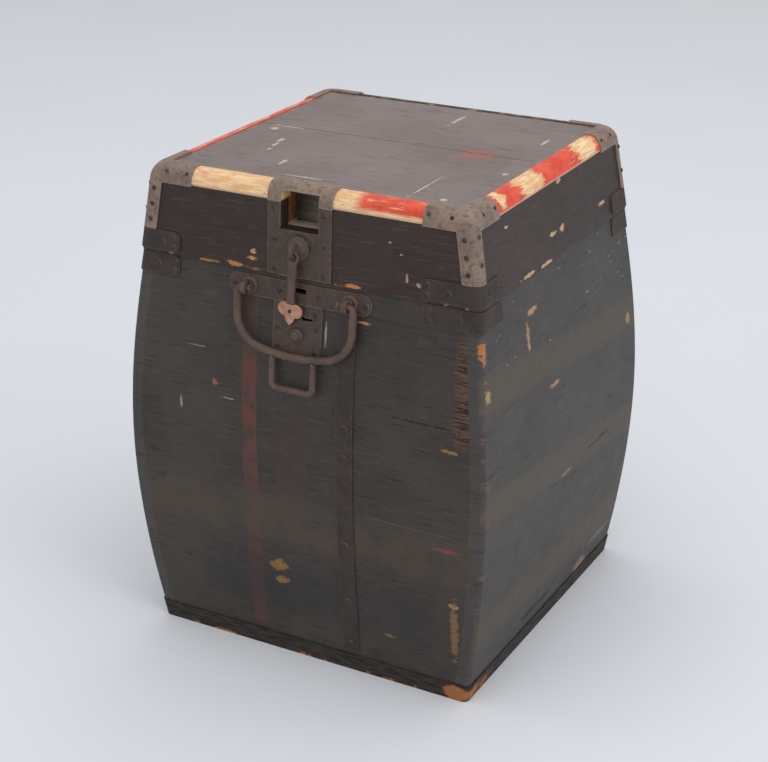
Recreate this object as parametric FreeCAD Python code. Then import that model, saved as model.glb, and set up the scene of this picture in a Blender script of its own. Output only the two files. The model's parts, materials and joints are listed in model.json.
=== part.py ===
import FreeCAD, Part
import math
import os

# Offertory box: a barrel-sided wooden case on a flat base board, with a
# shallow hinged lid, a money slot in the lid's front, a hanging hasp, a bail
# handle and iron straps.  Millimetres.  +Z up, front of the box faces -Y,
# origin at the centre of the base board's underside.

V = FreeCAD.Vector

# ---------------------------------------------------------------- dimensions
H = 455.0                    # total height
Z_BASE = 17.0                # top of the base board
Z_JOINT = 375.0              # top of the case walls
LID_GAP = 0.3                # gap between case and lid
Z_BEAD = 441.0               # underside of the top boards and edge beads
BEAD_W = 15.0                # width of the rounded edge bead, in plan
T_WALL = 13.0                # board thickness, case
T_LID = 12.0                 # board thickness, lid
T_IRON = 1.4                 # sheet iron thickness
R_CASE = 4.5                 # worn vertical corner of the case
R_LID = 7.0                  # vertical corner of the lid
BASE_PROUD = 1.2             # base board stands proud of the walls

# outer half width and half depth of the case walls at each height
CASE_Z = [0.0, 45.0, 90.0, 135.0, 180.0, 225.0, 270.0, 315.0, 345.0, 375.0]
CASE_HW = [163.0, 170.7, 176.7, 180.8, 182.8, 182.3, 179.6, 175.3, 172.1, 168.7]
CASE_HD = [161.9, 166.2, 169.7, 172.1, 173.3, 172.8, 170.4, 165.8, 161.3, 156.3]
# the lid tapers in a straight line from its foot to the bead
LID_HW0, LID_HW1 = 170.7, 160.0
LID_HD0, LID_HD1 = 158.8, 154.4

XC = -3.0                    # centre line of the front fittings
SLOT_W = 37.5                # money slot width
SLOT_Z0, SLOT_Z1 = 417.0, 451.0
PLATE_HALF = 31.5            # upper lock plate, half width
HANDLE_HALF = 71.5           # handle plate, half width
HANDLE_Z0, HANDLE_Z1 = 352.7, 370.7
LOCK_HALF = 24.5             # lower lock plate, half width
LOCK_Z0 = 306.0
STRAP_X0, STRAP_X1 = 41.5, 58.0   # vertical strap, from the centre line
STRAP_Z0, STRAP_Z1 = 22.0, 352.4
CAP_ARM = 46.0               # corner cap, arm length along the top edges
CAP_LEG_F, CAP_LEG_S = 15.0, 11.0  # corner cap leg width on front and side
CAP_LEG_Z0 = 396.6
UP_Z0, UP_Z1 = 378.0, 396.2  # corner straps on the lid
LO_Z0, LO_Z1 = 356.2, 374.2  # corner straps on the case

STAPLE_X = 50.5              # bail staples, from the centre line
BAIL_R = 3.5                 # bail rod radius
EYE_R = 2.3                  # eye rod radius
EYE_HOLE = 3.45              # eye hole radius
BAIL_PIN = 3.1               # bail journal radius in the eye
BAIL_Y, BAIL_Z = -167.6, 361.6
BAIL_HALF = 57.9             # centre line of the bail's legs
BAIL_TILT = 6.0              # lean away from the vertical, lying on the case
BAIL_DROP = 55.0             # pivot to the grip's centre line
LOOP_HALF = 20.6             # centre line of the loop's legs
LOOP_DROP = 85.0             # pivot to the loop's lower bar
LOOP_R = 3.1

BOSS_Z = 402.5
BOSS_R = 11.0
HASP_EYE_R = 5.4             # centre-line radius of the boss eye
HASP_EYE_ROD = 1.5
HASP_LEAN = 5.6              # sideways lean of the hanging hasp
HASP_LEN = 47.0              # eye centre to the foot of the bar

HINGE_X = 88.0
HINGE_HALF = 24.0
HINGE_R = 3.6
PIN_R = 1.7
PIN_PLAY = 0.06
HINGE_Y = 163.3
HINGE_Z = Z_JOINT

NAIL_R = 3.0                 # nail head radius
NAIL_H = 1.7                 # nail head height

os.makedirs("parts", exist_ok=True)
done = []


def save(name, shape):
    if isinstance(shape, (list, tuple)):
        shape = Part.makeCompound(list(shape))
    sol = shape.Solids
    if len(sol) == 1:
        shape = sol[0]
    else:
        shape = Part.makeCompound(sol)
    assert sol, name
    for s in sol:
        assert s.Volume > 0.5, (name, s.Volume)
        if not s.isValid():
            print("NOT VALID", name)
    shape.exportStep("parts/%s.step" % name)
    done.append(name)
    b = shape.BoundBox
    print("%-26s %2d solids  vol %10.0f  x %7.1f %7.1f  y %7.1f %7.1f  z %6.1f %6.1f" % (
        name, len(sol), shape.Volume, b.XMin, b.XMax, b.YMin, b.YMax, b.ZMin, b.ZMax))


def spline(xs, ys):
    n = len(xs)
    h = [xs[i + 1] - xs[i] for i in range(n - 1)]
    a = [0.0] * n
    lo = [0.0] * n
    mu = [0.0] * n
    z = [0.0] * n
    lo[0] = 1.0
    for i in range(1, n - 1):
        a[i] = 3 * (ys[i + 1] - ys[i]) / h[i] - 3 * (ys[i] - ys[i - 1]) / h[i - 1]
        lo[i] = 2 * (xs[i + 1] - xs[i - 1]) - h[i - 1] * mu[i - 1]
        mu[i] = h[i] / lo[i]
        z[i] = (a[i] - h[i - 1] * z[i - 1]) / lo[i]
    c = [0.0] * n
    b = [0.0] * n
    d = [0.0] * n
    for j in range(n - 2, -1, -1):
        c[j] = z[j] - mu[j] * c[j + 1]
        b[j] = (ys[j + 1] - ys[j]) / h[j] - h[j] * (c[j + 1] + 2 * c[j]) / 3
        d[j] = (c[j + 1] - c[j]) / (3 * h[j])

    def f(x):
        i = 0
        while i < n - 2 and x > xs[i + 1]:
            i += 1
        t = x - xs[i]
        return ys[i] + b[i] * t + c[i] * t * t + d[i] * t ** 3
    return f


case_hw = spline(CASE_Z, CASE_HW)
case_hd = spline(CASE_Z, CASE_HD)


def lid_hw(z):
    return LID_HW0 + (LID_HW1 - LID_HW0) * (z - Z_JOINT) / (Z_BEAD - Z_JOINT)


def lid_hd(z):
    return LID_HD0 + (LID_HD1 - LID_HD0) * (z - Z_JOINT) / (Z_BEAD - Z_JOINT)


def box(x0, x1, y0, y1, z0, z1):
    return Part.makeBox(x1 - x0, y1 - y0, z1 - z0, V(x0, y0, z0))


def rrect(hw, hd, r, z):
    k = math.sqrt(0.5)
    e = []

    def arc(cx, cy, a0):
        p = [V(cx + r * math.cos(math.radians(a)), cy + r * math.sin(math.radians(a)), z)
             for a in (a0, a0 + 45, a0 + 90)]
        return Part.Arc(p[0], p[1], p[2]).toShape()
    e.append(Part.makeLine(V(-hw + r, -hd, z), V(hw - r, -hd, z)))
    e.append(arc(hw - r, -hd + r, -90))
    e.append(Part.makeLine(V(hw, -hd + r, z), V(hw, hd - r, z)))
    e.append(arc(hw - r, hd - r, 0))
    e.append(Part.makeLine(V(hw - r, hd, z), V(-hw + r, hd, z)))
    e.append(arc(-hw + r, hd - r, 90))
    e.append(Part.makeLine(V(-hw, hd - r, z), V(-hw, -hd + r, z)))
    e.append(arc(-hw + r, -hd + r, 180))
    return Part.Wire(e)


def case_loft(off):
    zs = [0.0, 20.0, 45.0, 70.0, 90.0, 112.0, 135.0, 158.0, 180.0, 202.0, 225.0, 248.0,
          270.0, 292.0, 315.0, 330.0, 345.0, 360.0, 375.0]
    return Part.makeLoft([rrect(case_hw(z) + off, case_hd(z) + off, R_CASE + off, z) for z in zs], True, False)


def lid_loft(off):
    # straight walls, then a quarter-round bead, in ruled steps
    hgt = H - Z_BEAD
    secs = [(Z_JOINT - 2.0, lid_hw(Z_JOINT - 2.0), lid_hd(Z_JOINT - 2.0), R_LID),
            (Z_BEAD, LID_HW1, LID_HD1, R_LID)]
    for k in range(1, 8):
        a = math.radians(90.0 * k / 7)
        inset = 11.5 * (1 - math.cos(a))
        secs.append((Z_BEAD + (hgt + off) * math.sin(a), LID_HW1 - inset, LID_HD1 - inset, R_LID + 3.0 * math.sin(a)))
    return Part.makeLoft([rrect(w + off, d + off, r + off, z) for z, w, d, r in secs], True, True)


def prism_y(fn, z0, z1, y_far, x0=-230.0, x1=230.0, step=15.0):
    """Solid between y = fn(z) and y = y_far, run along X."""
    n = max(2, int((z1 - z0) / step) + 1)
    pts = [V(0, fn(z0 + (z1 - z0) * i / n), z0 + (z1 - z0) * i / n) for i in range(n + 1)]
    c = Part.BSplineCurve()
    c.interpolate(pts)
    w = Part.Wire([c.toShape(), Part.makeLine(pts[-1], V(0, y_far, z1)),
                   Part.makeLine(V(0, y_far, z1), V(0, y_far, z0)), Part.makeLine(V(0, y_far, z0), pts[0])])
    s = Part.Face(w).extrude(V(x1 - x0, 0, 0))
    s.translate(V(x0, 0, 0))
    return s


def prism_x(fn, z0, z1, x_far, y0=-230.0, y1=230.0, step=15.0):
    """Solid between x = fn(z) and x = x_far, run along Y."""
    n = max(2, int((z1 - z0) / step) + 1)
    pts = [V(fn(z0 + (z1 - z0) * i / n), 0, z0 + (z1 - z0) * i / n) for i in range(n + 1)]
    c = Part.BSplineCurve()
    c.interpolate(pts)
    w = Part.Wire([c.toShape(), Part.makeLine(pts[-1], V(x_far, 0, z1)),
                   Part.makeLine(V(x_far, 0, z1), V(x_far, 0, z0)), Part.makeLine(V(x_far, 0, z0), pts[0])])
    s = Part.Face(w).extrude(V(0, y1 - y0, 0))
    s.translate(V(0, y0, 0))
    return s


def solid_of(s):
    # the largest solid of a boolean result
    so = sorted(s.Solids, key=lambda q: q.Volume)
    return so[-1]


def slab_poly(pts, z0, z1):
    p = [V(x, y, z0) for x, y in pts]
    w = Part.makePolygon(p + [p[0]])
    return Part.Face(w).extrude(V(0, 0, z1 - z0))


def stadium_y(x0, x1, z0, z1, r, y0, y1):
    """Plate outline in XZ with rounded corners, run along Y."""
    b = box(x0, x1, y0, y1, z0, z1)
    es = [e for e in b.Edges if abs(e.Vertexes[0].Point.y - e.Vertexes[1].Point.y) > 1]
    return b.makeFillet(r, es)


# ---------------------------------------------------------------- wood: case
case0 = case_loft(0.0)
case_iron = case_loft(T_IRON)
case_base = case_loft(BASE_PROUD)

save("base_board", case_base.common(box(-230, 230, -230, 230, 0, Z_BASE)))

wall = case0.common(box(-230, 230, -230, 230, Z_BASE, Z_JOINT))
in_r = prism_x(lambda z: case_hw(z) - T_WALL, 0, Z_JOINT, 230.0)
in_l = prism_x(lambda z: -(case_hw(z) - T_WALL), 0, Z_JOINT, -230.0)
in_f = prism_y(lambda z: -(case_hd(z) - T_WALL), 0, Z_JOINT, -230.0)
in_b = prism_y(lambda z: case_hd(z) - T_WALL, 0, Z_JOINT, 230.0)

KEY_X, KEY_Z = XC + 3.5, 340.5
hasp_slot = box(XC - 7, XC + 7, -190, -137, 361.2, 366.4)
keyhole = box(KEY_X, KEY_X + 11.5, -190, -137, KEY_Z - 1.3, KEY_Z + 1.3).fuse(
    Part.makeCylinder(2.3, 53, V(KEY_X + 2.0, -190, KEY_Z), V(0, 1, 0)))

right_panel = wall.common(in_r)
left_panel = wall.common(in_l)
save("right_panel", solid_of(right_panel))
save("left_panel", solid_of(left_panel))
mid = wall.cut(in_r).cut(in_l)
front_panel = solid_of(mid.common(in_f).cut(hasp_slot).cut(keyhole))
save("front_panel", front_panel)
save("back_panel", solid_of(mid.common(in_b)))

# ----------------------------------------------------------------- wood: lid
lid0 = lid_loft(0.0)
lid_iron = lid_loft(T_IRON)
Z_LID = Z_JOINT + LID_GAP
slot = box(XC - SLOT_W / 2, XC + SLOT_W / 2, -200, -130.5, SLOT_Z0, SLOT_Z1)

lid_wall = lid0.common(box(-230, 230, -230, 230, Z_LID, Z_BEAD))


def taper_x(sign):
    a0 = sign * (lid_hw(Z_LID - 5) - T_LID)
    a1 = sign * (lid_hw(Z_BEAD + 5) - T_LID)
    f = sign * 230
    w = Part.makePolygon([V(a0, -230, Z_LID - 5), V(a1, -230, Z_BEAD + 5), V(f, -230, Z_BEAD + 5),
                          V(f, -230, Z_LID - 5), V(a0, -230, Z_LID - 5)])
    return Part.Face(w).extrude(V(0, 460, 0))


def taper_y(sign):
    a0 = sign * (lid_hd(Z_LID - 5) - T_LID)
    a1 = sign * (lid_hd(Z_BEAD + 5) - T_LID)
    f = sign * 230
    w = Part.makePolygon([V(-230, a0, Z_LID - 5), V(-230, a1, Z_BEAD + 5), V(-230, f, Z_BEAD + 5),
                          V(-230, f, Z_LID - 5), V(-230, a0, Z_LID - 5)])
    return Part.Face(w).extrude(V(460, 0, 0))


save("lid_right_panel", solid_of(lid_wall.common(taper_x(1))))
save("lid_left_panel", solid_of(lid_wall.common(taper_x(-1))))
lmid = lid_wall.cut(taper_x(1)).cut(taper_x(-1))
save("lid_front_panel", solid_of(lmid.common(taper_y(-1)).cut(slot)))
save("lid_back_panel", solid_of(lmid.common(taper_y(1))))

# top: two boards between the beads
TW, TD = LID_HW1 - BEAD_W, LID_HD1 - BEAD_W
Y_SEAM = 9.0
Z_TOPB = H - 0.6
save("top_board_front", box(-TW, TW, -TD, Y_SEAM, Z_BEAD, Z_TOPB).cut(slot))
save("top_board_back", box(-TW, TW, Y_SEAM + 0.4, TD, Z_BEAD, Z_TOPB))

crown = lid0.common(box(-230, 230, -230, 230, Z_BEAD, H + 1))
G = 230.0
kx, ky = TW, TD
front_poly = [(-kx, -ky), (-kx - (G - ky), -G), (kx + (G - ky), -G), (kx, -ky)]
back_poly = [(-kx, ky), (-kx - (G - ky), G), (kx + (G - ky), G), (kx, ky)]
right_poly = [(kx, -ky), (kx + (G - ky), -G), (kx + (G - ky), G), (kx, ky)]
left_poly = [(-kx, -ky), (-kx - (G - ky), -G), (-kx - (G - ky), G), (-kx, ky)]
save("bead_front", solid_of(crown.common(slab_poly(front_poly, Z_BEAD, H + 1)).cut(slot)))
save("bead_back", solid_of(crown.common(slab_poly(back_poly, Z_BEAD, H + 1))))
save("bead_right", solid_of(crown.common(slab_poly(right_poly, Z_BEAD, H + 1))))
save("bead_left", solid_of(crown.common(slab_poly(left_poly, Z_BEAD, H + 1))))

# slot liner: a block behind the lid front, and a baffle that hangs behind it
ly0 = -(lid_hd(Z_BEAD) - T_LID)
liner = box(XC - 30, XC + 30, -150, -130.5, 405, Z_BEAD).cut(slot).cut(taper_y(-1))
save("slot_liner", solid_of(liner))
save("slot_baffle", box(XC - 46, XC + 46, -112, -103, 392, Z_BEAD))

# ---------------------------------------------------------- iron on the lid
lid_shell = lid_iron.cut(lid0)


def column(sx, sy, wf, ws):
    """Slanted corner column: within wf of the corner along X, ws along Y."""
    def ring(z):
        x0, x1 = lid_hw(z) - wf, lid_hw(z) + 12
        y0, y1 = lid_hd(z) - ws, lid_hd(z) + 12
        p = [V(sx * x0, sy * y0, z), V(sx * x1, sy * y0, z), V(sx * x1, sy * y1, z), V(sx * x0, sy * y1, z)]
        return Part.makePolygon(p + [p[0]])
    return Part.makeLoft([ring(CAP_LEG_Z0), ring(Z_BEAD + 0.5)], True, True)


for sx, sy, nm in ((-1, -1, "front_left"), (1, -1, "front_right"), (-1, 1, "back_left"), (1, 1, "back_right")):
    x1 = sx * (LID_HW1 + 20)
    y1 = sy * (LID_HD1 + 20)
    arm_f = box(min(sx * (LID_HW1 - CAP_ARM), x1), max(sx * (LID_HW1 - CAP_ARM), x1),
                min(sy * (TD - 0.5), y1), max(sy * (TD - 0.5), y1), Z_BEAD - 1.0, H + 5)
    arm_s = box(min(sx * (TW - 0.5), x1), max(sx * (TW - 0.5), x1),
                min(sy * (LID_HD1 - CAP_ARM), y1), max(sy * (LID_HD1 - CAP_ARM), y1), Z_BEAD - 1.0, H + 5)
    zone = arm_f.fuse(arm_s).fuse(column(sx, sy, CAP_LEG_F, CAP_LEG_S))
    save("corner_cap_" + nm, solid_of(lid_shell.common(zone)))

iron_slot = box(XC - SLOT_W / 2 - 0.3, XC + SLOT_W / 2 + 0.3, -200, -130, SLOT_Z0 - 0.3, SLOT_Z1 - 0.5)
save("slot_cap", solid_of(lid_shell.common(box(XC - PLATE_HALF - 0.5, XC + PLATE_HALF + 0.5, -200, -(TD - 0.5), Z_BEAD - 0.6, H + 5)).cut(iron_slot)))
save("upper_lock_plate", solid_of(lid_shell.common(box(XC - PLATE_HALF, XC + PLATE_HALF, -200, -140, 376.4, Z_BEAD - 0.7)).cut(iron_slot)))


def corner_strap(shell, hw, hd, sx, sy, z0, z1, lf, ls):
    """L-shaped strap round one corner with rounded ends."""
    x1 = sx * 230
    y1 = sy * 230
    a = sx * (hw - lf)
    b = sy * (hd - ls)
    zf = stadium_y(min(a, x1), max(a, x1), z0, z1, 5.0, min(sy * (hd - 8), y1), max(sy * (hd - 8), y1))
    zs = box(min(sx * (hw - 8), x1), max(sx * (hw - 8), x1), min(b, y1), max(b, y1), z0, z1)
    es = [e for e in zs.Edges if abs(e.Vertexes[0].Point.x - e.Vertexes[1].Point.x) > 1]
    zs = zs.makeFillet(5.0, es)
    return solid_of(shell.common(zf.fuse(zs)))


case_shell = case_iron.cut(case0)
LEN = {"front_left": (42.0, 38.0), "front_right": (54.0, 39.0), "back_left": (42.0, 38.0), "back_right": (42.0, 38.0)}
for sx, sy, nm in ((-1, -1, "front_left"), (1, -1, "front_right"), (-1, 1, "back_left"), (1, 1, "back_right")):
    lf, ls = LEN[nm]
    save("upper_strap_" + nm, corner_strap(lid_shell, lid_hw(387), lid_hd(387), sx, sy, UP_Z0, UP_Z1, lf, ls))
    save("lower_strap_" + nm, corner_strap(case_shell, case_hw(365), case_hd(365), sx, sy, LO_Z0, LO_Z1, lf, ls))

# boss: a low turned dome on the upper plate
prof = [V(0, 0, -3), V(BOSS_R, 0, -3), V(BOSS_R, 0, 1.6), V(BOSS_R - 1.2, 0, 2.6), V(BOSS_R - 3.4, 0, 2.9),
        V(BOSS_R - 5.0, 0, 4.4), V(0, 0, 5.2), V(0, 0, -3)]
boss = Part.Face(Part.makePolygon(prof)).revolve(V(0, 0, 0), V(0, 0, 1), 360)
boss.rotate(V(0, 0, 0), V(1, 0, 0), 90)
BOSS_Y = -(lid_hd(BOSS_Z) + T_IRON)
boss.translate(V(XC, BOSS_Y, BOSS_Z))
boss = solid_of(boss.cut(lid_iron))
EYE_Y = BOSS_Y - 5.2 - 3.2
eye = Part.makeTorus(HASP_EYE_R, HASP_EYE_ROD, V(XC, EYE_Y, BOSS_Z), V(1, 0, 0))
eye = solid_of(eye.cut(boss).cut(box(XC - 20, XC + 20, -(lid_hd(BOSS_Z) - 1), 0, 380, 430)).common(
    box(XC - 20, XC + 20, -200, BOSS_Y - 4.0, 380, 430)))
save("boss", boss)
save("hasp_eye", eye)

# ------------------------------------------------------------ iron on the case
handle_plate = stadium_y(XC - HANDLE_HALF, XC + HANDLE_HALF, HANDLE_Z0, HANDLE_Z1, 8.9, -200, -140)
handle_plate = solid_of(handle_plate.common(case_shell).cut(hasp_slot))
save("handle_plate", handle_plate)
lock_plate = stadium_y(XC - LOCK_HALF, XC + LOCK_HALF, LOCK_Z0, HANDLE_Z0 + 4, 3.0, -200, -140).common(
    box(-100, 100, -220, 0, 300, HANDLE_Z0 - 0.2))
lock_plate = solid_of(lock_plate.common(case_shell).cut(keyhole))
save("lower_lock_plate", lock_plate)
strap = box(XC + STRAP_X0, XC + STRAP_X1, -210, -140, STRAP_Z0, STRAP_Z1)
save("vertical_strap", solid_of(strap.common(case_shell)))

# knob: a small domed rose on the lower lock plate
KNOB_Z = 325.0
ky0 = case_hd(KNOB_Z) + T_IRON
prof = [V(0, 0, -4), V(7.0, 0, -4), V(7.0, 0, 1.0), V(6.2, 0, 2.0), V(5.2, 0, 2.2), V(4.6, 0, 4.0), V(3.0, 0, 5.4),
        V(0, 0, 5.9), V(0, 0, -4)]
knob = Part.Face(Part.makePolygon(prof)).revolve(V(0, 0, 0), V(0, 0, 1), 360)
knob.rotate(V(0, 0, 0), V(1, 0, 0), 90)
knob.translate(V(XC, -ky0, KNOB_Z))
save("knob", solid_of(knob.cut(case_iron)))

# bail staples: a rosette on the plate and an eye that stands out of it
plate_y = case_hd(BAIL_Z) + T_IRON
for sx, nm in ((-1, "left"), (1, "right")):
    x = XC + sx * STAPLE_X
    ros = Part.makeCylinder(7.6, 8.0, V(x, -plate_y + 6.0, BAIL_Z), V(0, -1, 0))
    ros = ros.makeChamfer(0.9, [e for e in ros.Edges if e.Vertexes[0].Point.y < -plate_y - 1.0 and len(e.Vertexes) == 1])
    ros = solid_of(ros.cut(case_iron))
    e = Part.makeCylinder(EYE_HOLE + 2.6, 5.0, V(x - 2.5, BAIL_Y, BAIL_Z), V(1, 0, 0))
    e = e.makeFillet(1.2, [q for q in e.Edges if len(q.Vertexes) == 1 or q.Vertexes[0].Point.isEqual(q.Vertexes[-1].Point, 1e-6)])
    neck = box(x - 2.5, x + 2.5, BAIL_Y, -plate_y - 0.5, BAIL_Z - 3.2, BAIL_Z + 3.2)
    e = e.fuse(neck).cut(Part.makeCylinder(EYE_HOLE, 12, V(x - 6, BAIL_Y, BAIL_Z), V(1, 0, 0)))
    e = solid_of(e.fuse(ros).removeSplitter())
    save("bail_staple_" + nm, e)

# lock case behind the front board, with the bolt inside
LC_X0, LC_X1 = XC - 34.0, XC + 34.0
lc_out = box(LC_X0, LC_X1, -160, -126.0, 326.0, 371.0)
lc_in = box(LC_X0 + 1.6, LC_X1 - 1.6, -160, -127.6, 327.6, 369.4)
lock_case = lc_out.cut(lc_in).cut(in_f)
rails = box(LC_X0 + 1.6, LC_X1 - 1.6, -131.5, -127.6, 355.6, 357.6).fuse(
    box(LC_X0 + 1.6, LC_X1 - 1.6, -131.5, -127.6, 367.4, 369.4))
lock_case = lock_case.fuse(rails).removeSplitter()
save("lock_case", solid_of(lock_case))
bolt = box(XC + 9.0, XC + 30.0, -137.0, -128.0, 358.0, 367.0)
bolt = bolt.makeFillet(1.0, [e for e in bolt.Edges if abs(e.Vertexes[0].Point.x - e.Vertexes[1].Point.x) > 1])
talon = box(XC + 17.0, XC + 22.0, -136.5, -132.0, 349.0, 358.5)
save("lock_bolt", solid_of(bolt.fuse(talon).removeSplitter()))

# ---------------------------------------------------------------------- hinges
def tube(x0, x1, r):
    return Part.makeCylinder(r, x1 - x0, V(x0, HINGE_Y, HINGE_Z), V(1, 0, 0))


for sx, nm in ((-1, "left"), (1, "right")):
    x = sx * HINGE_X
    a, b = x - HINGE_HALF, x + HINGE_HALF
    third = 2 * HINGE_HALF / 3.0
    bore = tube(a - 1, b + 1, PIN_R + PIN_PLAY)
    press = tube(a - 1, b + 1, PIN_R)
    # leaf on the case with the two outer knuckles
    leaf = stadium_y(a, b, 330.0, HINGE_Z + 10, 4.0, 130, 200).common(
        box(-230, 230, 100, 230, 300, HINGE_Z - 4.2)).common(case_shell)
    kn = []
    for k0, k1 in ((a, a + third - 0.4), (b - third + 0.4, b)):
        web = box(k0, k1, 150.0, HINGE_Y - 1.0, HINGE_Z - 6.5, HINGE_Z - 1.0).cut(case0)
        kn.append(tube(k0, k1, HINGE_R).fuse(web))
    lower = solid_of(leaf).fuse(kn[0]).fuse(kn[1]).cut(bore)
    save("case_hinge_leaf_" + nm, solid_of(lower.removeSplitter()))
    # leaf on the lid with the middle knuckle
    leaf = stadium_y(a, b, HINGE_Z - 10, 424.0, 4.0, 130, 200).common(
        box(-230, 230, 100, 230, HINGE_Z + 5.0, 440)).common(lid_shell)
    k0, k1 = a + third, b - third
    web = box(k0, k1, 150.0, HINGE_Y - 1.0, HINGE_Z + 1.2, HINGE_Z + 7.0).cut(lid0)
    upper = solid_of(leaf).fuse(tube(k0, k1, HINGE_R).fuse(web)).cut(press)
    save("lid_hinge_leaf_" + nm, solid_of(upper.removeSplitter()))
    head = Part.makeCylinder(2.8, 1.5, V(a - 1.9, HINGE_Y, HINGE_Z), V(1, 0, 0))
    pin = tube(a - 1.9, b + 1.4, PIN_R).fuse(head)
    save("hinge_pin_" + nm, solid_of(pin.removeSplitter()))


# ------------------------------------------------------------------ hanging hasp
def rod(pts_or_wire, r, start, tangent):
    c = Part.Wire(Part.makeCircle(r, start, tangent))
    return pts_or_wire.makePipeShell([c], True, False)


# the hasp is drawn hanging straight down from the eye, then leaned sideways
RING_Z = BOSS_Z - HASP_EYE_R           # centre of the rod that the ring hangs on
ring = Part.makeTorus(4.4, 1.6, V(XC, EYE_Y, RING_Z - 0.7), V(0, 1, 0))
bar_top = RING_Z - 0.7 - 4.4
bar_bot = bar_top - 38.0
pts = [(-4.0, bar_top + 1.5), (4.0, bar_top + 1.5), (4.4, bar_top - 10), (3.6, bar_bot + 8), (4.2, bar_bot),
       (-4.2, bar_bot), (-3.6, bar_bot + 8), (-4.4, bar_top - 10)]
w = Part.makePolygon([V(XC + x, EYE_Y - 1.9, z) for x, z in pts] + [V(XC + pts[0][0], EYE_Y - 1.9, pts[0][1])])
bar = Part.Face(w).extrude(V(0, 3.8, 0))
bar = bar.makeFillet(1.0, [e for e in bar.Edges if abs(e.Vertexes[0].Point.y - e.Vertexes[1].Point.y) < 0.1])
bar = bar.cut(Part.makeCylinder(2.9, 10, V(XC, EYE_Y - 5, RING_Z - 0.7), V(0, 1, 0)))
hasp = solid_of(ring.fuse(bar).removeSplitter())
# small hoop behind the bar, which the bolt would catch
hoop = Part.makeTorus(2.9, 1.0, V(XC, EYE_Y + 1.9, 364.2), V(1, 0, 0))
hoop = solid_of(hoop.common(box(XC - 5, XC + 5, EYE_Y + 1.0, -100, 350, 375)).cut(hasp))
# copper end piece: two side lobes and a pointed tongue
tz = bar_bot - 1.0
plates = [Part.makeCylinder(6.3, 1.8, V(XC - 5.8, EYE_Y - 0.9, tz - 5.0), V(0, 1, 0)),
          Part.makeCylinder(6.3, 1.8, V(XC + 5.8, EYE_Y - 0.9, tz - 5.0), V(0, 1, 0))]
tongue = Part.makePolygon([V(XC + x, EYE_Y - 0.9, tz + z) for x, z in
                           ((-6.5, -5), (-5.2, -11.5), (-3.6, -15.5), (0, -19.5), (3.6, -15.5), (5.2, -11.5), (6.5, -5), (3.5, 0.4), (-3.5, 0.4), (-6.5, -5))])
tref = plates[0].fuse(plates[1]).fuse(Part.Face(tongue).extrude(V(0, 1.8, 0))).removeSplitter()
tref = solid_of(tref.cut(hasp))
rivet = Part.makeSphere(1.7, V(XC, EYE_Y - 0.9, tz - 6.0)).cut(box(XC - 5, XC + 5, EYE_Y - 0.9, EYE_Y + 5, 300, 360))
lean = (V(XC, EYE_Y, BOSS_Z), V(0, 1, 0), HASP_LEAN)
for nm, s in (("hasp_bar", hasp), ("hasp_hoop", hoop), ("hasp_trefoil", tref), ("hasp_rivet", solid_of(rivet))):
    s.rotate(*lean)
    save(nm, s)

# ------------------------------------------------------------------- bail handle
# drawn in a vertical plane through the pivot, then tilted to lie on the case
A = BAIL_HALF


def arc3(p0, p1, p2):
    return Part.Arc(p0, p1, p2).toShape()


def P(x, z):
    return V(XC + x, BAIL_Y, BAIL_Z + z)


inx = STAPLE_X - 5.5
edges = []
rc = 4.2                     # bend from the journal into the leg
R1 = 30.0                    # corner of the U
legz = -(BAIL_DROP - 3.0 - R1)
s45 = math.sqrt(0.5)
# left journal and bend, leg, corner, shallow grip, and the mirror of it
grip = BAIL_DROP
gx = A - R1
left = [Part.makeLine(P(-inx, 0), P(-A + rc, 0)),
        arc3(P(-A + rc, 0), P(-A + rc - rc * s45, -rc + rc * s45), P(-A, -rc)),
        Part.makeLine(P(-A, -rc), P(-A, legz))]
ang = math.radians(90 - 12)
cx, cz = -A + R1, legz
p_end = (cx - R1 * math.cos(ang), cz - R1 * math.sin(ang))
p_mid = (cx - R1 * math.cos(ang / 2), cz - R1 * math.sin(ang / 2))
left.append(arc3(P(-A, legz), P(*p_mid), P(*p_end)))
drop_c = -p_end[0] * math.tan(math.radians(12)) / 2.0
grip_z = p_end[1] - drop_c
grip_edge = arc3(P(*p_end), P(0, grip_z), P(-p_end[0], p_end[1]))
right = [arc3(P(-p_end[0], p_end[1]), P(-p_mid[0], p_mid[1]), P(A, legz)),
         Part.makeLine(P(A, legz), P(A, -rc)),
         arc3(P(A, -rc), P(A - rc + rc * s45, -rc + rc * s45), P(A - rc, 0)),
         Part.makeLine(P(A - rc, 0), P(inx, 0))]
path = Part.Wire(left + [grip_edge] + right)
bail = rod(path, BAIL_PIN, P(-inx, 0), V(1, 0, 0))
thick_path = Part.Wire([Part.makeLine(P(-A, -rc - 1.0), P(-A, legz)), left[3], grip_edge, right[0],
                        Part.makeLine(P(A, legz), P(A, -rc - 1.0))])
thick = rod(thick_path, BAIL_R + 0.3, P(-A, -rc - 1.0), V(0, 0, 1))
ends = [Part.makeSphere(BAIL_R + 0.3, P(s * A, -rc - 1.0)) for s in (-1, 1)]
bail = bail.fuse([thick] + ends)
heads = [Part.makeCylinder(BAIL_R + 1.0, 2.0, P(-inx if s < 0 else inx - 2.0, 0), V(1, 0, 0)) for s in (-1, 1)]
bail = solid_of(bail.fuse(heads).removeSplitter())

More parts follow.
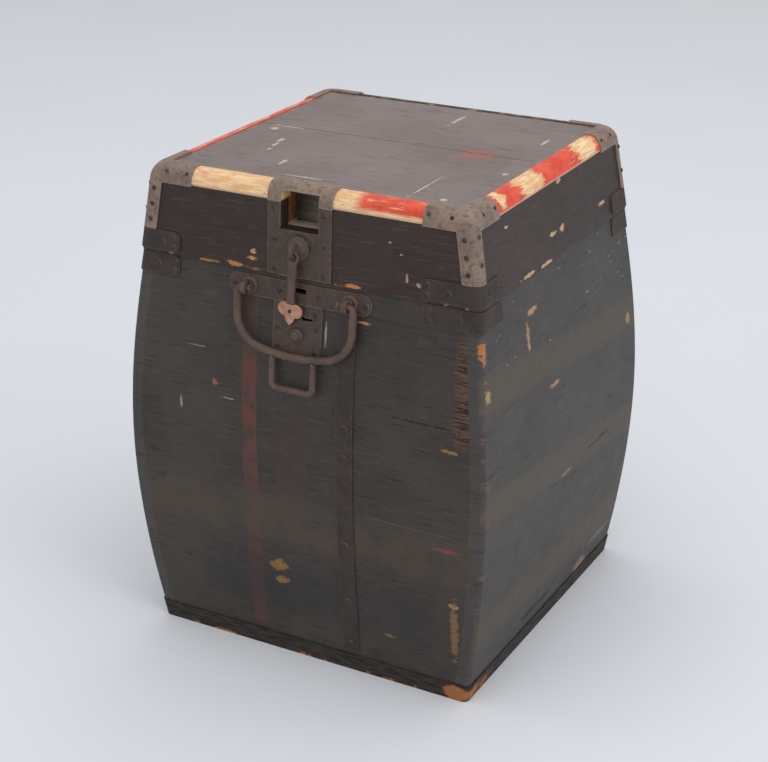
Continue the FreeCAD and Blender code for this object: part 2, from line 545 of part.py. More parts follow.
L = LOOP_HALF
zb = -LOOP_DROP
rl = 5.0
zt = grip_z - 0.5
loop_path = Part.Wire([Part.makeLine(P(-L, zt), P(-L, zb + rl)),
                       arc3(P(-L, zb + rl), P(-L + rl - rl * s45, zb + rl - rl * s45), P(-L + rl, zb)),
                       Part.makeLine(P(-L + rl, zb), P(L - rl, zb)),
                       arc3(P(L - rl, zb), P(L - rl + rl * s45, zb + rl - rl * s45), P(L, zb + rl)),
                       Part.makeLine(P(L, zb + rl), P(L, zt))])
loop = solid_of(rod(loop_path, LOOP_R, P(-L, zt), V(0, 0, 1)).cut(bail))
tilt = (V(XC, BAIL_Y, BAIL_Z), V(1, 0, 0), -BAIL_TILT)
for nm, s in (("bail_handle", bail), ("bail_loop", loop)):
    s.rotate(*tilt)
    save(nm, s)


# ------------------------------------------------------------------------- nails
def nail(x, y, z, nx, ny, nz, r=NAIL_R, h=NAIL_H, shank=7.0):
    """Domed head with a short shank; (nx, ny, nz) points out of the surface."""
    rad = (r * r + h * h) / (2 * h)
    cap = Part.makeSphere(rad, V(0, 0, h - rad)).common(Part.makeCylinder(r, h + 0.2, V(0, 0, -0.05)))
    sh = Part.makeCone(0.5, 1.3, shank, V(0, 0, -shank))
    s = cap.fuse(sh)
    s = solid_of(s)
    d = V(nx, ny, nz)
    d.normalize()
    s.Placement = FreeCAD.Placement(V(x, y, z), FreeCAD.Rotation(V(0, 0, 1), d))
    return s


def on_lid_front(x, z, **k):
    return nail(x, -(lid_hd(z) + T_IRON), z, 0, -1, 0.066, **k)


def on_lid_side(sx, y, z, **k):
    return nail(sx * (lid_hw(z) + T_IRON), y, z, sx, 0, 0.16, **k)


def on_lid_back(x, z, **k):
    return nail(x, lid_hd(z) + T_IRON, z, 0, 1, 0.066, **k)


def case_slope(f, z):
    return (f(z + 2) - f(z - 2)) / 4.0


def on_case_front(x, z, **k):
    return nail(x, -(case_hd(z) + T_IRON), z, 0, -1, -case_slope(case_hd, z), **k)


def on_case_back(x, z, **k):
    return nail(x, case_hd(z) + T_IRON, z, 0, 1, -case_slope(case_hd, z), **k)


def on_case_side(sx, y, z, **k):
    return nail(sx * (case_hw(z) + T_IRON), y, z, sx, 0, -case_slope(case_hw, z), **k)


def on_bead(x, y, sx, sy, a=38.0, **k):
    """On the quarter-round bead, a degrees above the horizontal."""
    c, s = math.cos(math.radians(a)), math.sin(math.radians(a))
    out = 3.5 + 11.5 * c + T_IRON - 0.2
    zz = Z_BEAD + (H - Z_BEAD + T_IRON) * s - 0.3
    if sy:
        return nail(x, sy * (TD + out), zz, 0, sy * c, s, **k)
    return nail(sx * (TW + out), y, zz, sx * c, 0, s, **k)


lid_nails = []
for sx in (-1, 1):
    for sy in (-1, 1):
        f = on_lid_front if sy < 0 else on_lid_back
        cxn = sx * (lid_hw(430) - 8.0)
        for z in (434.0, 419.5, 405.5):
            lid_nails.append(f(sx * (lid_hw(z) - 8.2), z, r=2.4, h=1.4))
        for z in (436.0, 413.0):
            lid_nails.append(on_lid_side(sx, sy * (lid_hd(z) - 6.2), z, r=2.3, h=1.4))
        lf, ls = LEN[("front_" if sy < 0 else "back_") + ("left" if sx < 0 else "right")]
        x_in = sx * (lid_hw(387) - lf + 6.0)
        lid_nails.append(f(x_in, 391.5, r=2.7, h=1.5))
        lid_nails.append(f(x_in, 382.6, r=2.7, h=1.5))
        lid_nails.append(f(sx * (lid_hw(387) - (25.0 if lf < 50 else 28.0)), 386.5, r=2.7, h=1.5))
        lid_nails.append(on_lid_side(sx, sy * (lid_hd(387) - ls + 6.5), 387.0, r=2.5, h=1.4))
        lid_nails.append(on_lid_side(sx, sy * (lid_hd(387) - 16.0), 387.0, r=2.5, h=1.4))
        # cap arms on the bead
        lid_nails.append(on_bead(sx * (LID_HW1 - CAP_ARM + 5), 0, 0, sy, r=2.1, h=1.2, shank=6))
        lid_nails.append(on_bead(sx * (LID_HW1 - 20), 0, 0, sy, r=2.1, h=1.2, shank=6))
        lid_nails.append(on_bead(0, sy * (LID_HD1 - CAP_ARM + 5), sx, 0, r=2.1, h=1.2, shank=6))
        lid_nails.append(on_bead(0, sy * (LID_HD1 - 20), sx, 0, r=2.1, h=1.2, shank=6))
for dx in (-25.0, 25.0):
    for z in (434.0, 407.5, 381.0):
        lid_nails.append(on_lid_front(XC + dx, z, r=2.6, h=1.5))
for sx in (-1, 1):
    for dx, z in ((-17, 416), (0, 412), (17, 416), (-17, 392), (17, 392)):
        lid_nails.append(on_lid_back(sx * HINGE_X + dx, z, r=2.4, h=1.4))
save("lid_nails", lid_nails)

case_nails = []
for sx in (-1, 1):
    for sy in (-1, 1):
        f = on_case_front if sy < 0 else on_case_back
        lf, ls = LEN[("front_" if sy < 0 else "back_") + ("left" if sx < 0 else "right")]
        x_in = sx * (case_hw(365) - lf + 6.0)
        case_nails.append(f(x_in, 370.0, r=2.7, h=1.5))
        case_nails.append(f(x_in, 361.0, r=2.7, h=1.5))
        case_nails.append(f(sx * (case_hw(365) - 19.0), 365.5, r=2.7, h=1.5))
        case_nails.append(on_case_side(sx, sy * (case_hd(365) - ls + 6.5), 365.0, r=2.5, h=1.4))
        case_nails.append(on_case_side(sx, sy * (case_hd(365) - 16.0), 365.0, r=2.5, h=1.4))
for dx in (-66.0, 66.0, -20.0, 20.0):
    case_nails.append(on_case_front(XC + dx, 361.5, r=2.9, h=1.6))
for dx, z in ((-19.0, 330.0), (19.0, 333.0), (-18.5, 314.0), (18.5, 312.5), (-12.0, 346.5), (18.0, 346.0)):
    case_nails.append(on_case_front(XC + dx, z, r=2.6, h=1.5))
for z in (250.0, 222.0, 135.0, 76.0, 30.0):
    case_nails.append(on_case_front(XC + 49.7, z, r=2.8, h=1.5))
for sx in (-1, 1):
    for dx, z in ((-17, 337), (0, 341), (17, 337), (-17, 358), (17, 358)):
        case_nails.append(on_case_back(sx * HINGE_X + dx, z, r=2.4, h=1.4))
save("case_nails", case_nails)

print(len(done), "nodes; hasp axis y %.3f z %.3f" % (EYE_Y, BOSS_Z))
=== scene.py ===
import bpy, bmesh, math, json
from mathutils import Vector, Matrix, noise

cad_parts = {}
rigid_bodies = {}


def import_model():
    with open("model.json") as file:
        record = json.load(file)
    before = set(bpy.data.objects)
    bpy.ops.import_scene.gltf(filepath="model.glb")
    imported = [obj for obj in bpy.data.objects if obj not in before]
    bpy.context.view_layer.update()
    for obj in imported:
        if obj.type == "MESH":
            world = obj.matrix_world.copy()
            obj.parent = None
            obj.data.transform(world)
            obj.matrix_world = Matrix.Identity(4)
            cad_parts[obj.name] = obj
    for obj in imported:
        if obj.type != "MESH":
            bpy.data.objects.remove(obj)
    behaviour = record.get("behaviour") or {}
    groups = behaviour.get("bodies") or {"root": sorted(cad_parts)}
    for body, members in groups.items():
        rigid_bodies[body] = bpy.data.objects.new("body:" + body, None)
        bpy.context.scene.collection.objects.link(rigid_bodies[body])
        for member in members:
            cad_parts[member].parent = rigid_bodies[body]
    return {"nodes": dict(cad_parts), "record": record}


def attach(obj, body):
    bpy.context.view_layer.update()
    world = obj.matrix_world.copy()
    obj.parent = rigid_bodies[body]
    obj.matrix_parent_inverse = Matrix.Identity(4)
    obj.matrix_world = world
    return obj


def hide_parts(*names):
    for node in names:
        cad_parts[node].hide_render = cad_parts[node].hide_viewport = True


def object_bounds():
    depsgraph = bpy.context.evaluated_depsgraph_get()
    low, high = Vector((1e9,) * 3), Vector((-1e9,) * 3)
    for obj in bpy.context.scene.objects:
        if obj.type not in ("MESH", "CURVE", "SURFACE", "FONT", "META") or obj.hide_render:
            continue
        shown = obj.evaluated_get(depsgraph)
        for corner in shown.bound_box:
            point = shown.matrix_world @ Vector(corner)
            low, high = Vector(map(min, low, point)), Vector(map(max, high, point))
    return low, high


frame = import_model()
CAD_BOX = [list(v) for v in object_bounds()]
nodes = [n for n in frame["nodes"]]


def H(h):
    c = [int(h[i:i + 2], 16) / 255 for i in (1, 3, 5)]
    return tuple([x / 12.92 if x <= 0.04045 else ((x + 0.055) / 1.055) ** 2.4 for x in c] + [1.0])


class M:
    """small helper that builds a node material from position masks, in millimetres"""

    def __init__(self, name, rough=0.55, metal=0.0, spec=0.3):
        self.m = bpy.data.materials.new(name)
        self.m.use_nodes = True
        self.t = self.m.node_tree
        self.b = self.t.nodes["Principled BSDF"]
        self.b.inputs["Metallic"].default_value = metal
        self.b.inputs["Specular IOR Level"].default_value = spec
        self.b.inputs["Roughness"].default_value = rough
        tc = self.n("ShaderNodeTexCoord")
        s = self.n("ShaderNodeVectorMath", operation="SCALE")
        s.inputs["Scale"].default_value = 1000.0
        self.l(tc.outputs["Object"], s.inputs[0])
        self.p = s.outputs[0]
        q = self.n("ShaderNodeSeparateXYZ")
        self.l(self.p, q.inputs[0])
        self.x, self.y, self.z = q.outputs

    def n(self, kind, **kw):
        o = self.t.nodes.new(kind)
        for k, v in kw.items():
            setattr(o, k, v)
        return o

    def l(self, a, b):
        self.t.links.new(a, b)

    def f(self, op, *a, clamp=False):
        o = self.n("ShaderNodeMath", operation=op, use_clamp=clamp)
        for i, v in enumerate(a):
            if isinstance(v, (int, float)):
                o.inputs[i].default_value = v
            else:
                self.l(v, o.inputs[i])
        return o.outputs[0]

    def noise(self, scale, detail=4, rough=0.55, stretch=(1, 1, 1)):
        mp = self.n("ShaderNodeVectorMath", operation="MULTIPLY")
        self.l(self.p, mp.inputs[0])
        mp.inputs[1].default_value = [scale * k for k in stretch]
        o = self.n("ShaderNodeTexNoise")
        o.inputs["Scale"].default_value = 1.0
        o.inputs["Detail"].default_value = detail
        o.inputs["Roughness"].default_value = rough
        self.l(mp.outputs[0], o.inputs["Vector"])
        return o.outputs["Fac"]

    def step(self, v, a, b):
        o = self.n("ShaderNodeMapRange", interpolation_type="SMOOTHSTEP")
        for i, k in ((0, v), (1, a), (2, b)):
            if isinstance(k, (int, float)):
                o.inputs[i].default_value = k
            else:
                self.l(k, o.inputs[i])
        return o.outputs[0]

    def band(self, v, a, b, s=1.0):
        return self.f("MULTIPLY", self.step(v, a - s, a + s), self.f("SUBTRACT", 1.0, self.step(v, b - s, b + s)))

    def blob(self, u, v, cu, cv, ru, rv, rag=0.8, nz=None):
        du = self.f("DIVIDE", self.f("SUBTRACT", u, cu), ru)
        dv = self.f("DIVIDE", self.f("SUBTRACT", v, cv), rv)
        d = self.f("SQRT", self.f("ADD", self.f("MULTIPLY", du, du), self.f("MULTIPLY", dv, dv)))
        d = self.f("ADD", d, self.f("MULTIPLY", self.f("SUBTRACT", nz, 0.5), rag * 3))
        return self.f("SUBTRACT", 1.0, self.step(d, 0.75, 1.15))

    def mix(self, fac, a, b):
        o = self.n("ShaderNodeMix", data_type="RGBA")
        if isinstance(fac, (int, float)):
            o.inputs[0].default_value = fac
        else:
            self.l(fac, o.inputs[0])
        for i, c in ((6, a), (7, b)):
            if isinstance(c, tuple):
                o.inputs[i].default_value = c
            else:
                self.l(c, o.inputs[i])
        return o.outputs[2]

    def end(self, col, rough, height, dist=0.4, strength=0.6):
        self.l(col, self.b.inputs["Base Color"])
        self.l(rough, self.b.inputs["Roughness"])
        bp = self.n("ShaderNodeBump")
        bp.inputs["Strength"].default_value = strength
        bp.inputs["Distance"].default_value = dist / 1000
        self.l(height, bp.inputs["Height"])
        self.l(bp.outputs[0], self.b.inputs["Normal"])
        return self.m


def edge(k, r=2.0):
    bv = k.n("ShaderNodeBevel", samples=4)
    bv.inputs["Radius"].default_value = r / 1000
    g = k.n("ShaderNodeNewGeometry")
    d = k.n("ShaderNodeVectorMath", operation="DOT_PRODUCT")
    k.l(bv.outputs[0], d.inputs[0])
    k.l(g.outputs["Normal"], d.inputs[1])
    return k.f("SUBTRACT", 1.0, k.step(d.outputs["Value"], 0.72, 0.985))


def lacquer(name, c1, c2, c3, face=None, wood="#8a6038", rough=0.5, grain=(0.08, 0.08, 1.0)):
    k = M(name)
    big, mid, fine = k.noise(0.011, 3), k.noise(0.06, 5), k.noise(0.7, 5, 0.7)
    rg = k.noise(0.3, 5, 0.7, (0.6, 0.6, 1.0))
    g = k.noise(0.45, 4, 0.65, grain)
    col = k.mix(k.step(big, 0.35, 0.65), H(c1), H(c2))
    col = k.mix(k.f("MULTIPLY", k.step(mid, 0.45, 0.75), 0.55), col, H(c3))
    col = k.mix(k.f("MULTIPLY", k.step(g, 0.56, 0.7), 0.35), col, H("#5d4d3e"))
    col = k.mix(k.f("MULTIPLY", k.step(g, 0.44, 0.34), 0.5), col, H("#171413"))
    x, y, z = k.x, k.y, k.z

    def add(col, mask, hexc, amt=1.0):
        return k.mix(k.f("MULTIPLY", mask, amt), col, H(hexc))
    plain = col
    if face:
        tn = k.n("ShaderNodeTexCoord")
        sn = k.n("ShaderNodeSeparateXYZ")
        k.l(tn.outputs["Normal"], sn.inputs[0])
        nv = {"front": k.f("MULTIPLY", sn.outputs[1], -1.0), "lidfront": k.f("MULTIPLY", sn.outputs[1], -1.0)}.get(face, sn.outputs[2] if face == "top" else sn.outputs[0])
        out = k.step(nv, 0.1, 0.35)
    if face == "front":
        st = k.f("MULTIPLY", k.band(x, k.f("ADD", -57.5, k.f("MULTIPLY", z, -0.008)), -44.5, 0.9) if False else k.band(x, -59, -44, 0.9), k.band(z, 24, 352, 3))
        st = k.f("MULTIPLY", st, k.f("ADD", 0.45, k.f("MULTIPLY", k.band(z, 172, 300, 12), 0.5)))
        col = add(col, k.f("MULTIPLY", st, k.step(mid, 0.25, 0.5)), "#62372e", 0.8)
        col = add(col, k.blob(x, z, -8, 205, 16, 55, 0.5, mid), "#55332c", 0.2)
        bandm = k.f("MULTIPLY", k.band(z, 120, 166, 8), k.step(mid, 0.25, 0.6))
        col = add(col, bandm, "#4b4034", 0.7)
        col = add(col, k.f("MULTIPLY", k.band(z, 46, 100, 14), k.f("MULTIPLY", k.band(x, -112, 132, 14), k.step(mid, 0.2, 0.6))), "#26262c", 0.5)
        for cx, cz, rx, rz in ((-26, 95, 8, 6), (-24, 79, 7, 4)):
            col = add(col, k.blob(x, z, cx, cz, rx, rz, 1.1, rg), "#8a6630", 0.8)
        col = add(col, k.f("MULTIPLY", k.band(z, 168.5, 169.2, 0.3), k.f("MULTIPLY", k.band(x, 65, 152, 4), k.step(fine, 0.4, 0.55))), "#7a7064", 0.5)
        for cx, cz, rx, rz, c in ((147, 155, 11, 2, "#7d4134"), (150, 250, 9, 1.6, "#8a6a45"), (122, 270, 28, 1, "#161210"), (154, 100, 4, 2.5, "#b59a78"),
                                  (154, 75, 4, 30, "#7b5a38"), (-88, 266, 3, 3, "#8a5a45"), (-75, 253, 8, .7, "#8e8478"), (-125, 240, 1.4, 6, "#8e8478"),
                                  (60, 347, 7, 1.2, "#c08a55"), (25, 332, 0.9, 10, "#9a8f80"), (88, 50, 6, 2, "#6b6340"), (-108, 297, 10, .7, "#77706a")):
            col = add(col, k.blob(x, z, cx, cz, rx, rz, 1.1, rg), c, 0.85)
        fr = k.f("MULTIPLY", k.f("MULTIPLY", k.step(k.f("ADD", x, k.f("MULTIPLY", rg, 16)), 156, 163), k.band(z, 256, 350, 6)), k.step(rg, 0.3, 0.46))
        col = add(col, fr, "#5e4332", 0.75)
        crz = k.noise(0.5, 5, 0.7, (0.09, 0.09, 1.0))
        col = add(col, k.f("MULTIPLY", fr, k.step(crz, 0.50, 0.46)), "#0f0b09", 0.95)
        col = add(col, k.f("MULTIPLY", fr, k.step(fine, 0.6, 0.68)), "#a8784a", 0.6)
        ew = k.f("MULTIPLY", k.f("MULTIPLY", k.step(x, 164, 181), k.step(g, 0.45, 0.6)), k.step(mid, 0.44, 0.66))
        col = add(col, ew, wood, 0.6)
        lw = k.f("MULTIPLY", k.f("MULTIPLY", k.step(x, -172, -181), k.band(z, 100, 235, 15)), k.step(mid, 0.42, 0.6))
        col = add(col, lw, "#7d5230", 0.85)
    if face == "side":
        for a, b in ((302, 270), (196, 158), (72, 60)):
            zz = k.f("ADD", z, k.f("MULTIPLY", k.f("ADD", y, 0.0), (a - b) / 300.0))
            mn = (a + b) / 2
            col = add(col, k.f("MULTIPLY", k.band(zz, mn - 16, mn + 16, 5), k.step(mid, 0.2, 0.5)), "#50483a", 0.7)
        for cy, cz, ry, rz, c in ((-73, 324, 3, 12, "#a8805a"), (-62, 345, 8, 3, "#b98a60"), (-158, 340, 4, 10, "#b0713f"), (-157, 300, 5, 6, "#a08a68"),
                                  (-25, 263, 9, 2, "#a5805f"), (85, 165, 28, 1.6, "#1c1816"), (84, 22, 14, 6, "#8b765c"), (125, 38, 30, 3, "#6d6458"),
                                  (-40, 31, 18, 3.5, "#141110"), (-8, 31, 14, 3, "#141110"), (5, 162, 12, 2, "#77765a"), (150, 265, 5, 6, "#9a7a60")):
            col = add(col, k.blob(y, z, cy, cz, ry, rz, 1.1, rg), c, 0.85)
        dots = k.f("MULTIPLY", k.step(k.noise(0.16, 2, 0.5, (1, .6, 1.4)), 0.70, 0.735), k.band(z, 296, 372, 6))
        col = add(col, dots, "#9b8566", 0.8)
        col = add(col, k.f("MULTIPLY", k.f("MULTIPLY", k.step(y, -158, -170), k.step(g, 0.45, 0.6)), k.step(mid, 0.45, 0.66)), wood, 0.55)
    if face == "lidfront":
        for cx, cz, rx, rz, c in ((-50, 392, 3, 2, "#b98a60"), (-51, 386, 4, 2, "#b98a60"), (-68, 378, 8, 2, "#b3733f"), (50, 377, 8, 2, "#c07a42"),
                                  (101, 392, 1.4, 5, "#a08a70"), (112, 388, 2, 2, "#a08a70"), (95, 412, 2, .8, "#9c9288"), (84, 421, 2, .8, "#9c9288")):
            col = add(col, k.blob(x, z, cx, cz, rx, rz, 1.1, rg), c, 0.9)
        col = add(col, k.f("MULTIPLY", k.step(z, 378.5, 376), k.step(mid, 0.52, 0.6)), "#a0703f", 0.9)
    if face == "lidside":
        for cy, cz, ry, rz in ((-10, 398, 6, 2), (10, 398, 5, 3), (100, 395, 7, 2), (13, 439, 5, 2), (-97, 429, 3, 1.5), (-65, 378, 14, 1.5), (-30, 377, 12, 1.5)):
            col = add(col, k.blob(y, z, cy, cz, ry, rz, 1.1, rg), "#c29a72", 0.9)
    if face == "top":
        col = add(col, k.blob(x, y, 85, 6, 16, 12, 0.5, mid), "#a45a44", 0.75)
        col = add(col, k.blob(x, y, 85, -10, 45, 35, 0.5, mid), "#6a4a40", 0.35)
        for cx, cy, rx, ry in ((17, 101, 1.6, 17), (122, 70, 1.6, 10), (-96, -35, 1.8, 5), (-93, -50, 1.8, 6), (-90, -65, 1.8, 4), (-57, -94, 1.8, 8),
                               (-122, -4, 4, 3), (118, -126, 4, 3), (132, -37, 3, 3), (-112, 8, 18, 1.6), (88, -100, 0.9, 30), (-16, -125, 18, 1.1)):
            col = add(col, k.blob(x, y, cx, cy, rx, ry, 1.1, rg), "#cbb392", 0.8)
        col = add(col, k.band(y, 8.3, 9.7, 0.3), "#0d0b0a", 0.7)
        rim = k.f("MAXIMUM", k.step(k.f("ABSOLUTE", x), 138, 144), k.step(k.f("ABSOLUTE", y), 132, 139))
        col = add(col, k.f("MULTIPLY", rim, k.step(mid, 0.5, 0.62)), "#9c7a58", 0.7)
    if face:
        col = k.mix(out, plain, col)
    spk = k.step(k.noise(1.1, 2, 0.5), 0.71, 0.75)
    col = add(col, spk, "#9b8d7c", 0.5)
    e = k.f("MULTIPLY", edge(k, 1.2), k.f("MULTIPLY", k.step(mid, 0.46, 0.64), k.step(g, 0.42, 0.58)))
    col = add(col, e, wood, 0.55)
    r = k.f("ADD", rough - 0.08, k.f("MULTIPLY", mid, 0.25))
    hgt = k.f("ADD", k.f("MULTIPLY", g, 0.7), k.f("ADD", k.f("MULTIPLY", fine, 0.35), k.f("MULTIPLY", mid, 0.9)))
    return k.end(col, r, hgt, 0.8, 0.6)


def iron(name, c1, c2, rust, light, rough=0.6, metal=0.0, spec=0.35):
    k = M(name, metal=metal, spec=spec)
    a, b, c = k.noise(0.05, 4), k.noise(0.25, 5, 0.65), k.noise(1.3, 4, 0.7)
    col = k.mix(k.step(a, 0.35, 0.65), H(c1), H(c2))
    col = k.mix(k.f("MULTIPLY", k.step(b, 0.48, 0.66), 0.8), col, H(rust))
    col = k.mix(k.f("MULTIPLY", k.step(c, 0.6, 0.72), 0.5), col, H("#0e0c0b"))
    col = k.mix(k.f("MULTIPLY", edge(k, 0.9), k.step(b, 0.3, 0.55)), col, H(light))
    r = k.f("ADD", rough - 0.12, k.f("MULTIPLY", b, 0.3))
    return k.end(col, r, k.f("ADD", k.f("MULTIPLY", b, 1.0), k.f("MULTIPLY", c, 0.35)), 0.6, 0.7)


def bead(name, axis, side):
    k = M(name)
    mid, fine = k.noise(0.07, 5, 0.6), k.noise(0.8, 4, 0.6)
    st = (0.12, 1, 1) if axis == "x" else (1, 0.12, 1)
    g = k.noise(0.35, 5, 0.65, st)
    u = k.x if axis == "x" else k.y
    wood = k.mix(k.step(g, 0.4, 0.62), H("#d8a878"), H("#f0d2a6"))
    wood = k.mix(k.f("MULTIPLY", k.step(fine, 0.62, 0.72), 0.6), wood, H("#5a3a28"))
    red = k.mix(k.step(mid, 0.35, 0.65), H("#c8402a"), H("#e0543a"))
    if side == "front":
        keep = k.f("MULTIPLY", k.band(u, 52, 118, 6), k.step(k.z, 443.5, 447))
        thin = k.f("MULTIPLY", k.step(g, 0.58, 0.66), 0.8)
        m = k.f("MAXIMUM", k.f("MULTIPLY", keep, k.step(g, 0.36, 0.46)), thin)
    elif side == "right":
        worn = k.f("MAXIMUM", k.blob(k.y, k.z, -38, 450, 24, 12, 0.9, g), k.blob(k.y, k.z, 82, 450, 24, 12, 0.9, g))
        worn = k.f("MAXIMUM", worn, k.f("MAXIMUM", k.blob(k.y, k.z, -95, 452, 7, 7, 0.9, g), k.step(g, 0.66, 0.72)))
        m = k.f("SUBTRACT", 1.0, worn)
    elif side == "left":
        m = k.step(g, 0.38, 0.5)
    else:
        red = H("#2c2522")
        m = k.step(g, 0.36, 0.44)
    col = k.mix(m, wood, red)
    col = k.mix(k.f("MULTIPLY", k.step(k.z, 443.2, 442), 0.8), col, H("#b79a88"))
    return k.end(col, k.f("ADD", 0.32, k.f("MULTIPLY", fine, 0.3)), k.f("ADD", g, k.f("MULTIPLY", m, 0.8)), 0.7, 0.6)


def wood(name, c1, c2):
    k = M(name)
    g, mid = k.noise(0.4, 5, 0.65, (0.1, 1, 0.5)), k.noise(0.05, 4)
    col = k.mix(k.step(g, 0.35, 0.65), H(c1), H(c2))
    col = k.mix(k.f("MULTIPLY", k.step(mid, 0.5, 0.7), 0.4), col, H("#3d2c20"))
    col = k.mix(k.f("MULTIPLY", k.step(k.z, 419.5, 418), k.step(g, 0.2, 0.4)), col, H("#b5aa99"))
    return k.end(col, k.f("ADD", 0.55, k.f("MULTIPLY", mid, 0.2)), g, 0.5, 0.5)


def base():
    k = M("base_dark_worn")
    mid, g = k.noise(0.07, 5, 0.6), k.noise(0.4, 4, 0.6, (0.15, 0.15, 1))
    col = k.mix(k.step(g, 0.4, 0.6), H("#1d1a17"), H("#37302a"))
    m = k.f("MAXIMUM", k.blob(k.x, k.z, 154, 8, 13, 8, 0.5, mid), k.f("MULTIPLY", k.step(k.z, 3.5, 1.5), k.step(mid, 0.52, 0.6)))
    col = k.mix(k.f("MULTIPLY", m, k.step(k.y, -100, -150)), col, H("#9b6038"))
    return k.end(col, k.f("ADD", 0.5, k.f("MULTIPLY", mid, 0.3)), k.f("ADD", g, mid), 1.0, 0.7)


MATS = {
    # front and side lacquers are lit and shaded copies of one lacquer: the front's base colours are darker (painted
    # shade) and the side's are lighter (painted light from the right)
    "front": lacquer("case_front_lacquer", "#34302c", "#3e3833", "#463d35", "front"),
    "side": lacquer("case_side_lacquer", "#3d3b3a", "#444140", "#4a443c", "side"),
    "plain": lacquer("case_back_lacquer", "#2d2a28", "#38342f", "#41382f", None),
    "lidf": lacquer("lid_front_lacquer", "#2e221e", "#352722", "#3e2f29", "lidfront", rough=0.42),
    "lids": lacquer("lid_side_lacquer", "#2f2421", "#372a26", "#40322d", "lidside", rough=0.42),
    # top lacquer: its base colours, far lighter than the body's, are painted sheen from the overhead light; the pale
    # spots and rubbed rim added in lacquer() are real wear
    "top": lacquer("top_lacquer_worn", "#6e625d", "#786b66", "#80716b", "top", rough=0.4, grain=(0.08, 1.0, 1.0)),
    "cap": iron("cap_iron_pale", "#877365", "#75655b", "#5b473b", "#b8a699", 0.5),
    "plate": iron("plate_iron_rusty", "#3c342e", "#483c33", "#5a4232", "#94867a", 0.55),
    "forged": iron("forged_iron_brown", "#4a3e37", "#5a4b42", "#674b39", "#b09c8a", 0.52),
    "strap": iron("strap_iron_dark", "#2c2623", "#362e29", "#45332a", "#6d6056", 0.58),
    "nail": iron("nail_iron_dark", "#27211e", "#3a302a", "#4a372b", "#8d7c6c", 0.5),
    "copper": iron("copper_pale", "#b08069", "#9a6c57", "#c79a82", "#d9b7a3", 0.45),
    "bare": wood("bare_wood_orange", "#7a4a25", "#96683c"),
    "floorw": wood("chute_floor_grey", "#8a7d6b", "#a5988a"),
    "bf": bead("bead_front_worn", "x", "front"), "br": bead("bead_right_red", "y", "right"),
    "bl": bead("bead_left_red", "y", "left"), "bb": bead("bead_back_dark", "x", "back"),
    "base": base(),
}


def pick(n):
    if n == "front_panel": return "front"
    if n in ("right_panel", "left_panel"): return "side"
    if n == "back_panel": return "plain"
    if n in ("lid_front_panel", "lid_back_panel"): return "lidf"
    if n in ("lid_right_panel", "lid_left_panel"): return "lids"
    if n.startswith("top_board"): return "top"
    if n.startswith("bead_"): return {"front": "bf", "right": "br", "left": "bl", "back": "bb"}[n[5:]]
    if n == "base_board": return "base"
    if n in ("slot_liner",): return "bare"
    if n in ("slot_baffle",): return "floorw"
    if n.startswith("corner_cap") or n == "slot_cap": return "cap"
    if n == "vertical_strap" or n.startswith(("upper_strap", "lower_strap")): return "strap"
    if n == "hasp_trefoil": return "copper"
    if n in ("hasp_bar", "hasp_hoop", "bail_handle", "bail_loop", "knob", "hasp_eye", "boss", "bail_staple_left", "bail_staple_right"): return "forged"
    if "nails" in n or n == "hasp_rivet": return "nail"
    return "plate"


def node_object(n):
    for o in bpy.data.objects:
        if o.type == "MESH" and o.name == n:
            return o
    return frame["nodes"][n] if isinstance(frame["nodes"], dict) else None


def weather(n, mat, cell, amp, scale, slot_from):
    """hand-forged look: a finer mesh of the node, pressed in by uneven hammer marks, never outwards"""
    src = node_object(n)
    me = src.data.copy()
    ob = bpy.data.objects.new("worn_" + n, me)
    bpy.context.scene.collection.objects.link(ob)
    md = ob.modifiers.new("r", "REMESH")
    md.mode = "VOXEL"
    md.voxel_size = cell / 1000
    dg = bpy.context.evaluated_depsgraph_get()
    new = bpy.data.meshes.new_from_object(ob.evaluated_get(dg))
    ob.modifiers.clear()
    ob.data = new
    new.materials.clear()
    new.materials.append(mat)
    if len(new.vertices) < 8:
        raise SystemExit("remesh lost " + n)
    nor = [v.normal.copy() for v in new.vertices]
    for v, q in zip(new.vertices, nor):
        p = v.co * 1000
        a = noise.noise(p * scale) * 0.6 + noise.noise(p * scale * 2.6) * 0.4
        v.co -= q * (amp / 1000) * (0.5 + 0.5 * max(-1.0, min(1.0, a * 1.8)))
    for poly in new.polygons:
        poly.use_smooth = True
    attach(ob, BODY[n])
    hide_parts(n)
    return ob


BODY = {}
for b, ns in frame["record"]["behaviour"]["bodies"].items():
    for n in ns:
        BODY[n] = b

for n in BODY:
    o = node_object(n)
    m = MATS[pick(n)]
    if not o.material_slots:
        continue
    for s in o.material_slots:
        s.material = m

for n, cell, amp, sc in (("bail_handle", 0.8, 0.55, 0.22), ("bail_loop", 0.7, 0.5, 0.25), ("hasp_bar", 0.45, 0.5, 0.35),
                         ("hasp_trefoil", 0.4, 0.25, 0.2), ("knob", 0.5, 0.35, 0.25), ("boss", 0.5, 0.35, 0.25)):
    weather(n, MATS[pick(n)], cell, amp, sc, n)

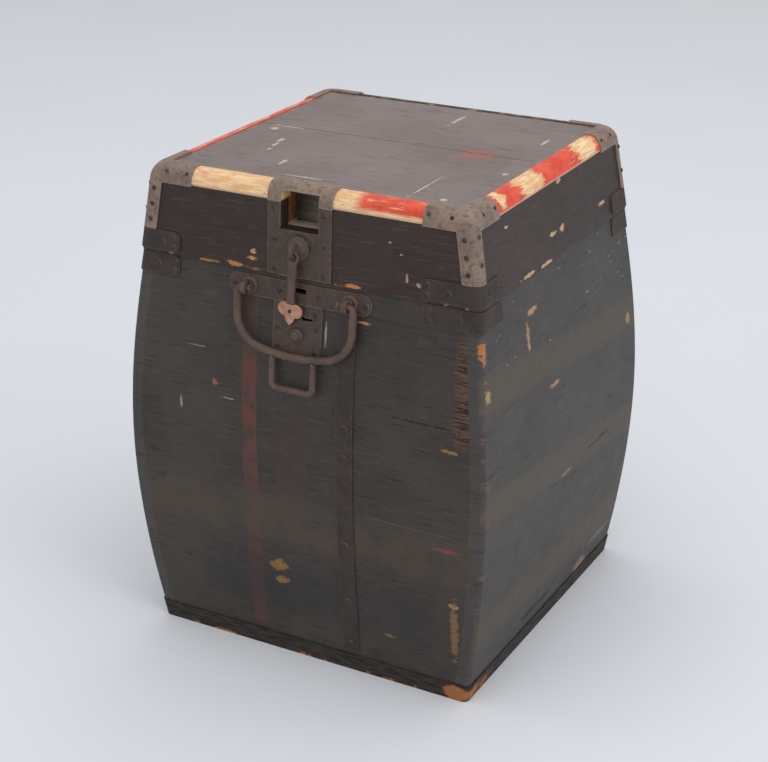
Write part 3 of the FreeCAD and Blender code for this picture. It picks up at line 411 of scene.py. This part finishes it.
# ------------------------------------------------------------- camera, light, floor
az, el, roll = math.radians(29.0417), math.radians(23.5584), math.radians(-0.368)
back = Vector((math.sin(az) * math.cos(el), -math.cos(az) * math.cos(el), math.sin(el)))
tgt = Vector((-8.959, 0, 217.206)) / 1000
C = tgt + back * 1.71016
fwd = -back
right = fwd.cross(Vector((0, 0, 1))).normalized()
up = right.cross(fwd)
r2 = right * math.cos(roll) + up * math.sin(roll)
u2 = -right * math.sin(roll) + up * math.cos(roll)
cd = bpy.data.cameras.new("cam")
cam = bpy.data.objects.new("cam", cd)
bpy.context.scene.collection.objects.link(cam)
cd.sensor_width = 36.0
cd.lens = 82.996
cd.clip_end = 100
cam.matrix_world = Matrix(((r2.x, u2.x, back.x, C.x), (r2.y, u2.y, back.y, C.y), (r2.z, u2.z, back.z, C.z), (0, 0, 0, 1)))
bpy.context.scene.camera = cam


def area(name, loc, size, power, aim=(0, 0, 0.22)):
    ld = bpy.data.lights.new(name, "AREA")
    ld.shape = "SQUARE"
    ld.size = size
    ld.energy = power
    lo = bpy.data.objects.new(name, ld)
    bpy.context.scene.collection.objects.link(lo)
    lo.location = loc
    lo.rotation_euler = (Vector(aim) - Vector(loc)).to_track_quat("-Z", "Y").to_euler()


area("top_soft", (0.1, 0.2, 3.2), 3.6, 44)
area("right_soft", (2.6, -0.6, 1.3), 1.8, 20)
area("front_soft", (-0.9, -2.8, 1.5), 1.8, 9)
w = bpy.data.worlds.new("w")
w.use_nodes = True
w.node_tree.nodes["Background"].inputs[0].default_value = (0.98, 0.98, 1.0, 1)
w.node_tree.nodes["Background"].inputs[1].default_value = 0.70
bpy.context.scene.world = w
bpy.context.scene.view_settings.view_transform = "Standard"

bm = bmesh.new()
vs = [bm.verts.new((x, y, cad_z)) for x, y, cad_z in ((-12, -12, 0), (12, -12, 0), (12, 12, 0), (-12, 12, 0))]
bm.faces.new(vs)
fm = bpy.data.meshes.new("floor")
bm.to_mesh(fm)
bm.free()
floor = bpy.data.objects.new("floor", fm)
floor.location.z = CAD_BOX[0][2] - 0.0002
bpy.context.scene.collection.objects.link(floor)
kf = M("floor_pale", 0.8, 0, 0.1)
kf.end(kf.mix(kf.noise(0.002, 2), H("#d6d9de"), H("#dcdfe3")), kf.f("ADD", 0.75, kf.f("MULTIPLY", kf.noise(0.01, 2), 0.1)), kf.noise(0.5, 2), 0.05, 0.1)
fm.materials.append(kf.m)
